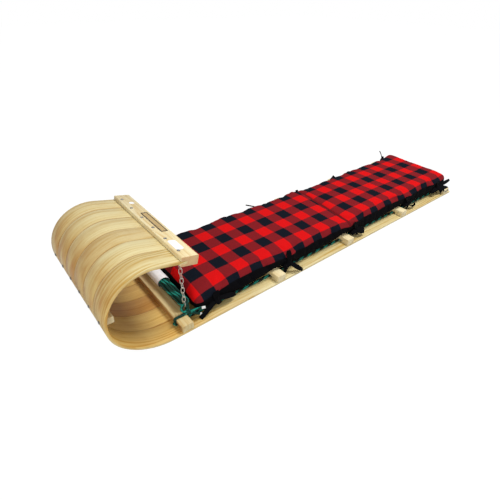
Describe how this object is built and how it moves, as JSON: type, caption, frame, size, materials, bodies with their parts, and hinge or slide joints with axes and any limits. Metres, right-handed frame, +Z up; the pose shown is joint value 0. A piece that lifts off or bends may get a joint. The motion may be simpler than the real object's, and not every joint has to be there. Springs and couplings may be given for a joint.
{
  "type": "wooden toboggan",
  "caption": "Flat wooden toboggan with a curled-over front held by chains, cross slats, side ropes, a folded tow rope and a long plaid cushion tied on top.",
  "frame": {"origin": "on the floor, under the middle of the deck's overall length and width", "axes": "+X to the sled's left, +Y to the rear (the curl is at -Y), +Z up"},
  "size_m": [0.4572, 1.8289, 0.2903],
  "materials": {
    "ash_board": "clear satin varnish over ash",
    "ash_slat": "clear satin varnish over ash",
    "plate": "aged brass with a dark edge",
    "chain": "bright zinc",
    "fastener": "bright zinc",
    "rope": "braided green and black",
    "paper": "matt white paper",
    "plaid": "woven red and black checks",
    "tape": "black woven tape"
  },
  "bodies": {
    "root": {"deck_board_1": "ash_board", "deck_board_2": "ash_board", "deck_board_3": "ash_board", "deck_board_4": "ash_board", "deck_board_5": "ash_board", "deck_board_6": "ash_board", "cross_slat_1": "ash_slat", "cross_slat_2": "ash_slat", "cross_slat_3": "ash_slat", "cross_slat_4": "ash_slat", "cross_slat_5": "ash_slat", "nose_batten": "ash_slat", "head_slat": "ash_slat", "name_plate": "plate", "chain_left": "chain", "chain_right": "chain", "screw_eyes": "fastener", "side_rope_left": "rope", "side_rope_right": "rope", "lashing_left": "rope", "lashing_right": "rope", "tow_lead_left": "rope", "tow_lead_right": "rope", "tow_rope_hank": "rope", "paper_sleeve": "paper", "cushion": "plaid", "cushion_ties_left": "tape", "cushion_ties_right": "tape"}
  },
  "joints": []
}
